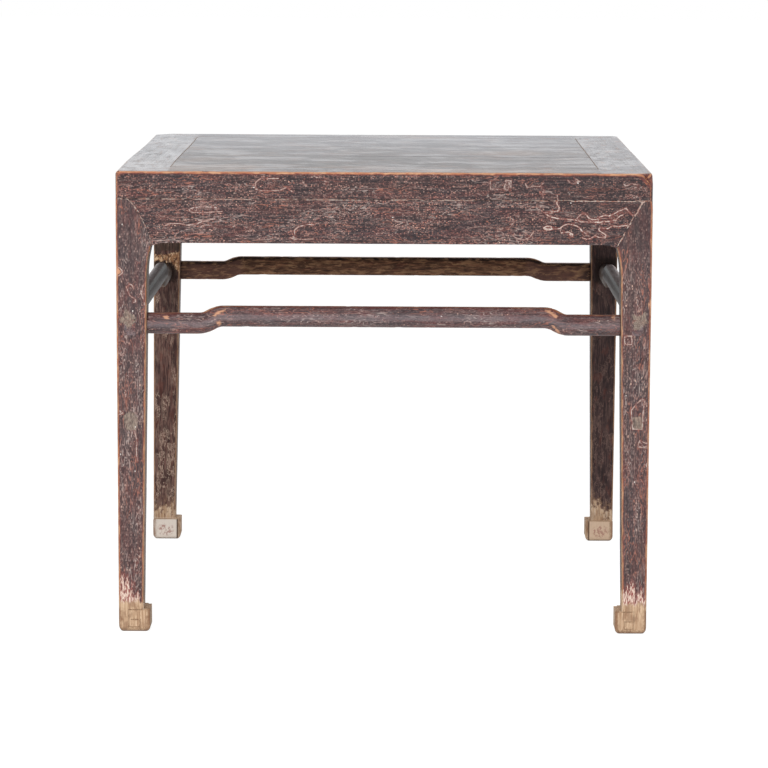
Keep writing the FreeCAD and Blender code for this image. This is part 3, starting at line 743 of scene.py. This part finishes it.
def plain_wood():
    """Battens and undersides: bare brown wood with dust on it, and a thin dark wash."""
    material, f = new_finish("plain_wood")
    g = f.read("grain", "Vector")
    grain = f.noise(f.spread(g, 80.0, 1.6), 4.0, 0.6)
    wash = f.noise(f.spread(g, 120.0, 20.0, 5.0), 3.0, 0.55)
    colour = f.blend(f.climb(grain, 0.35, 0.65), tint(86, 64, 48), tint(132, 102, 76))
    colour = f.blend(f.climb(wash, 0.45, 0.7, 0, 0.6), colour, tint(74, 58, 48))
    close_finish(f, colour, 0.6 + 0.2 * (grain - 0.5), grain, 0.3, {SPECULAR: 0.3})
    return material


WIDE = lacquer(
    "crackled_lacquer",
    (tint(70, 58, 60), tint(88, 65, 62), tint(120, 104, 100)),
    (tint(178, 116, 100), tint(144, 126, 120)),
    red_share=0.4,
    dots=1.0,
    threads=1.0,
    shores=0.5,
    cell=(3.1, 2.3),
)
UPRIGHT = lacquer(
    "leg_lacquer",
    (tint(80, 65, 66), tint(94, 72, 70), tint(130, 112, 108)),
    (tint(172, 136, 124), tint(154, 138, 132)),
    red_share=0.3,
    dots=0.6,
    threads=0.4,
    shores=0.6,
    cell=(5.0, 2.6),
)
ROUND = lacquer(
    "stretcher_lacquer",
    (tint(80, 67, 69), tint(98, 76, 75), tint(126, 113, 113)),
    (tint(158, 118, 108), tint(136, 124, 122)),
    red_share=0.5,
    dots=0.45,
    threads=0.5,
    shores=0.3,
    cell=(3.4, 2.4),
    # a painted sheen across the middle of the stretchers
    sheen=0.25,
)
RUBBED, PLAIN = rubbed_top(), plain_wood()
SHADED = shaded_side("shaded_leg_side", tint(42, 32, 33), tint(80, 61, 59), tint(146, 118, 108), 0.35, 0.15)
TORN = shaded_side("torn_leg_side", tint(54, 38, 37), tint(120, 90, 82), tint(188, 162, 144), 0.7, 0.2)
BROWN = shaded_side(
    "bare_inner_side",
    tint(62, 41, 33),
    tint(142, 102, 77),
    tint(188, 146, 110),
    share=0.0,
    flaky=0.6,
    end_tint=tint(104, 74, 68),
)
# the side stretchers: a dark blue-grey wash whose light and worn tones are brightened into a painted sheen,
# with a painted highlight on the split's lip
BLUE_GREY = shaded_side(
    "inner_side_painted_sheen",
    tint(66, 58, 60),
    tint(150, 138, 140),
    tint(188, 180, 182),
    share=0.0,
    flaky=0.6,
    specular=0.15,
    painted_lip_highlight=tint(216, 226, 230),
    end_tint=tint(176, 146, 122),
)


# ---- marks on the front, listed one by one: mm across and up, on the outer face ---------------
LINES = [
    # flaked ridges at the right end of the front
    [(283, 760), (296, 761), (309, 763), (309, 769), (304, 777), (307, 782), (305, 791)],
    [(283, 760), (290, 754), (303, 750), (317, 749), (339, 747), (344, 754), (351, 759), (356, 758),
     (361, 751), (367, 748), (376, 748), (381, 753), (393, 756), (397, 754), (405, 758), (414, 763),
     (422, 766), (427, 769), (431, 764), (435, 759), (440, 755), (447, 759), (450, 764)],
    [(339, 747), (347, 744), (379, 743), (396, 745), (409, 747), (415, 754), (422, 757)],
    [(296, 731), (311, 732), (317, 737), (324, 740), (336, 738), (345, 734), (350, 727), (359, 722)],
    [(351, 715), (358, 713), (364, 714), (373, 719), (381, 716), (391, 716), (393, 721), (385, 725),
     (379, 729), (381, 733), (396, 732), (403, 737), (414, 736), (427, 738), (434, 736)],
    [(284, 729), (282, 733), (289, 736), (296, 735), (296, 730), (284, 729)],
    [(313, 724), (324, 726), (330, 723), (334, 722), (333, 718), (328, 719)],
    [(323, 818), (328, 813), (334, 811), (345, 816), (335, 821)],
    [(422, 811), (426, 808), (437, 812), (448, 810)],
    [(280, 801), (283, 799), (278, 793), (281, 787)],
    # lower edge, right of the middle
    [(144, 729), (156, 733), (175, 735), (205, 731), (222, 733), (231, 745), (222, 751), (208, 750)],
    [(199, 724), (205, 727), (211, 723), (210, 714), (203, 712), (198, 716), (199, 724)],
    [(224, 722), (234, 714), (247, 711), (258, 716), (264, 726)],
    [(249, 811), (252, 804), (263, 807), (274, 806), (280, 812)],
    # round the batten tenons
    [(187, 815), (187, 801), (223, 800), (224, 816), (214, 816), (212, 803)],
    [(-162, 795), (-173, 802), (-184, 797), (-215, 796), (-227, 799), (-227, 811), (-218, 818),
     (-186, 818)],
    # left half
    [(-167, 712), (-158, 716), (-158, 727), (-150, 733), (-135, 737), (-124, 736)],
    [(-165, 711), (-143, 710), (-124, 711)],
    [(-296, 766), (-314, 767), (-336, 766), (-346, 761), (-339, 757), (-318, 757), (-286, 759)],
    [(-386, 734), (-377, 737), (-360, 737), (-349, 734), (-333, 736), (-318, 742), (-299, 746)],
    # front legs
    [(-478, 669), (-474, 662), (-467, 656), (-462, 651), (-466, 646), (-473, 642), (-478, 638)],
    [(-454, 616), (-456, 624), (-451, 629), (-445, 626), (-444, 621)],
    [(-453, 617), (-452, 610), (-448, 606), (-442, 604), (-440, 598), (-444, 596)],
    [(-422, 632), (-428, 623), (-430, 612), (-425, 598), (-423, 583), (-425, 569)],
    [(-482, 406), (-472, 403), (-463, 398), (-474, 394), (-478, 384)],
    [(-444, 366), (-440, 349), (-441, 328), (-439, 310)],
    [(428, 541), (441, 541), (441, 526), (428, 526), (428, 541)],
    [(443, 396), (442, 407), (450, 418), (460, 428), (466, 427), (464, 412), (463, 402), (462, 373),
     (445, 374), (443, 396)],
    [(455, 346), (458, 353), (467, 349), (477, 348), (473, 340), (455, 341)],
    [(476, 322), (470, 309), (474, 295), (477, 282)],
]
PATCHES = [
    [(-470, 569), (-462, 572), (-459, 587), (-452, 578), (-441, 572), (-439, 565), (-446, 556),
     (-454, 549), (-459, 556), (-470, 562)],
    [(-464, 394), (-453, 402), (-440, 396), (-438, 382), (-441, 367), (-458, 367), (-463, 382)],
    [(441, 583), (449, 576), (456, 578), (469, 588), (465, 574), (473, 565), (460, 558), (457, 553),
     (444, 551), (442, 567)],
    [(443, 395), (462, 397), (462, 373), (446, 374)],
]
SPLINTERED = [
    [(-480, 590), (-462, 588), (-440, 590), (-431, 592), (-410, 596), (-410, 552), (-427, 552),
     (-433, 562), (-440, 572), (-465, 574), (-480, 572)],
]
# bare spots at the front: the bends and ends of the stretcher, and edges of the legs
BARE = [
    [(-304, 572), (-295, 580), (-278, 586), (-280, 582), (-291, 576), (-299, 571)],
    [(-298, 561), (-291, 563), (-287, 557), (-293, 553)],
    [(286, 587), (296, 584), (310, 575), (306, 572), (295, 578), (288, 582)],
    [(299, 559), (305, 557), (314, 546), (312, 542), (305, 548), (300, 554)],
    [(404, 573), (412, 575), (412, 567), (406, 568)],
    [(-392, 570), (-385, 572), (-381, 567), (-388, 564)],
    [(-480, 664), (-473, 660), (-467, 653), (-466, 648), (-472, 645), (-480, 641)],
    [(468, 600), (480, 606), (480, 590), (471, 590)],
]


def offset_from(points, path):
    """The way to each point from the nearest place on a line drawn through the path's corners."""
    best = np.full((len(points), 2), 1e4)
    for a, b in zip(np.array(path, float), np.array(path[1:], float)):
        reach = b - a
        t = np.clip((points - a) @ reach / (reach @ reach), 0, 1)
        offset = points - a - t[:, None] * reach
        nearer = np.hypot(*offset.T) < np.hypot(*best.T)
        best[nearer] = offset[nearer]
    return best


def depth_in(points, outline):
    """How far inside the outline each point lies, less than 0 outside."""
    ring = [*outline, outline[0]]
    within = np.zeros(len(points), bool)
    for (x0, z0), (x1, z1) in zip(ring, ring[1:]):
        if z0 != z1:
            crosses = (points[:, 1] > min(z0, z1)) & (points[:, 1] <= max(z0, z1))
            at = x0 + (points[:, 1] - z0) / (z1 - z0) * (x1 - x0)
            within ^= crosses & (points[:, 0] < at)
    return np.where(within, 1, -1) * np.hypot(*offset_from(points, ring).T)


def keep_marks(mesh, p, normal):
    """Stores where the nearest mark on the front lies, and how deep each point is in a patch."""
    flat = p[:, [0, 2]] * MM
    front = (p[:, 1] < -HALF + 0.006) & (normal[:, 1] < 0.3)
    stretcher = (p[:, 1] < -0.44) & (np.abs(p[:, 0]) < 0.415) & (p[:, 2] < 0.61)
    patch, bare = np.full(len(p), -20.0), np.full(len(p), -20.0)
    # across, distance, up: the way to the nearest line, and how long that way is
    way = np.full((len(p), 3), 20.0)
    for path in LINES:
        offset = offset_from(flat, path)
        length = np.hypot(*offset.T)
        nearer = front & (length < way[:, 1])
        way[nearer] = np.column_stack((offset[:, 0], length, offset[:, 1]))[nearer]
    for outline in PATCHES:
        patch = np.maximum(patch, depth_in(flat, outline))
    behind = (p[:, 1] > 0.40) & (p[:, 1] < 0.43) & (normal[:, 1] < -0.3)
    for outlines, here in ((SPLINTERED, behind), (BARE, front | stretcher)):
        for outline in outlines:
            bare = np.where(here, np.maximum(bare, depth_in(flat, outline)), bare)
    keep(mesh, "lines", way, "FLOAT_VECTOR")
    keep(mesh, "patch", np.where(front, patch, -20.0))
    keep(mesh, "bare", bare)
    return np.where(behind, bare, -20.0)


# ---- the pieces -----------------------------------------------------------------------------
ALONG_X, ALONG_Y, ALONG_Z = (0, 2, 1), (1, 2, 0), (2, 0, 1)


def cuts_of(node, steps, fine):
    """Grid cuts for a node: a step and a list of finely cut places for each axis."""
    low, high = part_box(node)
    rough = 1.0
    return [ruling(low[k], high[k], rough * steps[k], fine[k]) for k in range(3)]


def paint_faces(piece, index_of):
    """Gives each face its finish by where it looks and lies."""
    faces = piece.data.polygons
    chosen = index_of(rows_of(faces, "normal"), rows_of(faces, "center"))
    faces.foreach_set("material_index", chosen.astype(np.int32))


def far_from_centre(centre):
    return np.maximum(np.abs(centre[:, 0]), np.abs(centre[:, 1]))


def frame_faces(normal, centre):
    top = normal[:, 2] > 0.75
    hidden = (normal[:, 2] < -0.75) | (far_from_centre(centre) < HALF - 0.02)
    return np.where(top, 1, np.where(hidden, 2, 0))


def apron_faces(normal, centre):
    return np.where(far_from_centre(centre) < HALF - 0.015, 1, 0)


def board_faces(normal, centre):
    return np.where(normal[:, 2] > 0.5, 0, 1)


def batten_faces(normal, centre):
    return np.where(np.abs(centre[:, 1]) > HALF - 0.004, 1, 0)


def leg_faces(normal, centre):
    inward = -np.sign(centre[:, :2]) * normal[:, :2]
    inner = (np.abs(centre[:, :2]) < HALF - 0.030) & (inward > 0.5)
    return np.where(inner.any(1) & (centre[:, 2] < 0.70), 1, 0)


def stretcher_faces(normal, centre):
    """The inner face has the second finish; at the sides, so have the upper and lower ones."""
    across = np.argmax(np.abs(centre[:, :2]).mean(0))
    inward = -np.sign(centre[:, across]) * normal[:, across]
    tenon_end = np.abs(normal[:, 1 - across]) > 0.9
    return np.where((inward > (0.6 if across == 1 else -0.3)) & ~tenon_end, 1, 0)


def no_arris(p):
    """For pieces whose arrises aren't rubbed: every point counts as far from one."""
    return np.full(len(p), 0.04)


def apron_arris(p):
    bottom = APRON_LOW - (APRON_LOW - CUSP) * rise(far_from_centre(p), 0.386, 0.412)
    return np.where(p[:, 2] < 0.75, np.abs(p[:, 2] - bottom) + 0.0028, 0.04)


def stretcher_arris(side):
    """Measures from the upper and lower edges of one side's stretcher, along its hump.

    The side ones are rubbed at one arris only on the inside, the upper one.
    """
    low, hump, bend = STRETCHERS[side]

    def distance(p):
        along = np.minimum(np.abs(p[:, 0]), np.abs(p[:, 1]))
        middle = low + STRETCHER_HALF + hump * rise(along, bend + 0.021, bend - 0.021)
        edge = STRETCHER_HALF - np.abs(p[:, 2] - middle) + 0.0031
        if side in ("front", "back"):
            return edge
        inward = HALF - 0.023 - np.abs(p[:, 0])
        ridge = 0.6 * np.hypot(inward - 0.007, p[:, 2] - middle - STRETCHER_HALF) + 0.0006
        return np.where(inward > -0.004, ridge, edge)

    return distance


def splinters(p, out, normal, bare):
    """Torn grain where a splinter came off the back left leg."""
    torn = rise(bare, 0, 5)[:, None]
    ridges = 0.5 + 0.5 * ripple(p, (0.0035, 0.02, 0.030), 91, 2)
    return out - normal * torn * (0.0009 + 0.0022 * ridges[:, None])


def hoof_wear(p, out):
    """Knocked and rounded lower edges of the feet."""
    u, v = insets(p)
    low = 1 - rise(p[:, 2], 0.0, 0.016)
    edge = np.minimum(u, v)
    knocked = low * (1 - rise(edge, 0.0, 0.008)) * (0.4 + 0.6 * np.abs(ripple(p, 0.017, 77, 2)))
    out = out.copy()
    out[:, 2] += 0.0016 * knocked
    for axis in (0, 1):
        out[:, axis] -= np.sign(p[:, axis]) * 0.0012 * knocked
    return out


seeds = count(1)
NOWHERE = [(), (), ()]  # no finely cut places


def add_piece(node, steps, fine, arris_of, grain, finishes, faces, soft=0.5):
    """Adds a node's worn copy, with the next seed, and gives each of its faces a finish."""
    cuts = cuts_of(node, steps, fine)
    piece = dressed(node, cuts, arris_of, grain, finishes, next(seeds), soft)
    paint_faces(piece, faces)


def by_axis(run, along, aside, upward):
    """Three values in the order of the axes, for a piece that runs along axis 0 or 1."""
    return [along, aside, upward] if run == 0 else [aside, along, upward]


for side, (sx, sy) in SIDES.items():
    run = 0 if sx == 0 else 1
    grain, face = (ALONG_X, ALONG_Y)[run], (HALF * (sx + sy),)
    step = 0.0024 if side == "front" else 0.004
    steps = by_axis(run, step, 0.008, 0.0026)
    fine = by_axis(run, (-HALF, HALF), face, (TOP, SEAM))
    finishes, slot = (WIDE, RUBBED, PLAIN), "frame_lacquer"
    add_piece("top_frame_" + side, steps, fine, frame_arris, grain, finishes, frame_faces)

    steps, fine = by_axis(run, step, 0.006, 0.0026), by_axis(run, (), face, (CUSP,))
    finishes, slot = (WIDE, PLAIN), "apron_lacquer"
    add_piece("apron_" + side, steps, fine, apron_arris, grain, finishes, apron_faces)

    steps, arris = [0.004, 0.004, 0.004], stretcher_arris(side)
    finishes, slot = (ROUND, (BROWN, BLUE_GREY)[run]), "stretcher_lacquer"
    add_piece("stretcher_" + side, steps, NOWHERE, arris, grain, finishes, stretcher_faces)

for corner, (sx, sy) in CORNERS.items():
    x, y = sx * HALF, sy * HALF
    steps = [0.0034, 0.0034, 0.004]
    fine = [(x, x - sx * 0.050), (y, y - sy * 0.050), (0.0, 0.03)]
    finishes, slot = (UPRIGHT, TORN if corner.endswith("left") else SHADED), "leg_lacquer"
    add_piece("leg_" + corner, steps, fine, leg_arris, ALONG_Z, finishes, leg_faces, 0.35)

for board in ("front", "middle", "back"):
    node, steps = "panel_board_" + board, [0.008, 0.006, 0.02]
    finishes, slot = (RUBBED, PLAIN), "panel_lacquer"
    add_piece(node, steps, NOWHERE, no_arris, ALONG_X, finishes, board_faces)

for side in ("left", "right"):
    steps, fine = [0.005, 0.008, 0.005], [(), (-HALF, HALF), ()]
    finishes, slot = (PLAIN, WIDE), "bare_wood"
    add_piece("batten_" + side, steps, fine, no_arris, ALONG_Y, finishes, batten_faces)

for place_for_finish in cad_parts["apron_loose_tenons"].material_slots:
    place_for_finish.material = PLAIN


# ---- floor, light and camera ------------------------------------------------------------------
def white_floor():
    material, f = new_finish("studio_floor")
    looked_at = f.most(f.ray("Camera"), f.ray("Glossy"))
    glow = f.add("ShaderNodeEmission", {}, {"Color": (1, 1, 1, 1), "Strength": 0.90})
    paper = f.add("ShaderNodeBsdfDiffuse", {}, {"Color": (0.25, 0.25, 0.25, 1)})
    seen = f.add("ShaderNodeAddShader", {}, {0: glow, 1: paper})
    matt = f.add("ShaderNodeBsdfDiffuse", {}, {"Color": (0.8, 0.8, 0.8, 1)})
    mixed = f.add("ShaderNodeMixShader", {}, {0: looked_at, 1: matt, 2: seen})
    f.add("ShaderNodeOutputMaterial", {}, {"Surface": mixed})
    return material


FAR = 30  # half the floor's width
floor_mesh = bpy.data.meshes.new("floor")
floor_mesh.from_pydata(
    [(-FAR, -FAR, 0), (FAR, -FAR, 0), (FAR, FAR, 0), (-FAR, FAR, 0)], [], [(0, 1, 2, 3)]
)
floor = bpy.data.objects.new("floor", floor_mesh)
floor.location.z = -0.0003
floor_mesh.materials.append(white_floor())
bpy.context.scene.collection.objects.link(floor)

world = bpy.data.worlds.new("studio")
bpy.context.scene.world = world
world.use_nodes = True
room = Finish(world.node_tree)
looked_at = room.most(room.ray("Camera"), room.ray("Glossy"), room.ray("Transmission"))
white = room.add("ShaderNodeBackground", {}, {"Color": (1, 1, 1, 1), "Strength": 1.0})
dim = room.add("ShaderNodeBackground", {}, {"Color": (1, 1, 1, 1), "Strength": 0.45})
mixed = room.add("ShaderNodeMixShader", {}, {0: looked_at, 1: dim, 2: white})
room.add("ShaderNodeOutputWorld", {}, {"Surface": mixed})


def soft_light(name, place, aim, size, power):
    data = bpy.data.lights.new(name, "AREA")
    data.shape, data.size, data.energy = "SQUARE", size, power
    lamp = bpy.data.objects.new(name, data)
    lamp.location = place
    lamp.visible_glossy = False  # no glare on the polished top from behind
    lamp.rotation_euler = (Vector(aim) - Vector(place)).to_track_quat("-Z", "Y").to_euler()
    bpy.context.scene.collection.objects.link(lamp)


soft_light("front_light", (-0.8, -4.6, 2.6), (0, 0, 0.5), 2.6, 204)
soft_light("top_light", (1.0, 0.6, 3.4), (0, 0, 0.6), 2.4, 40)

CAMERA_PLACE = (0.0078, -6.5052, 1.3164)
PITCH, YAW, ROLL = 0.14227, -0.00107, 0.00519  # in radians
SENSOR_MM, FOCAL_PX, IMAGE_PX = 36.0, 3426.2, 768
ahead = Vector((math.sin(YAW) * math.cos(PITCH), math.cos(YAW) * math.cos(PITCH), -math.sin(PITCH)))
right = Vector((math.cos(YAW), -math.sin(YAW), 0))
up = right.cross(ahead)
right, up = (
    math.cos(ROLL) * right + math.sin(ROLL) * up,
    math.cos(ROLL) * up - math.sin(ROLL) * right,
)
turned = Matrix((right, up, -ahead)).transposed().to_4x4()
camera_data = bpy.data.cameras.new("camera")
camera_data.sensor_width, camera_data.lens = SENSOR_MM, SENSOR_MM * FOCAL_PX / IMAGE_PX
camera_data.clip_end = 100.0
camera = bpy.data.objects.new("camera", camera_data)
camera.matrix_world = Matrix.Translation(CAMERA_PLACE) @ turned
bpy.context.scene.collection.objects.link(camera)
bpy.context.scene.camera = camera
bpy.context.scene.view_settings.view_transform = "Standard"
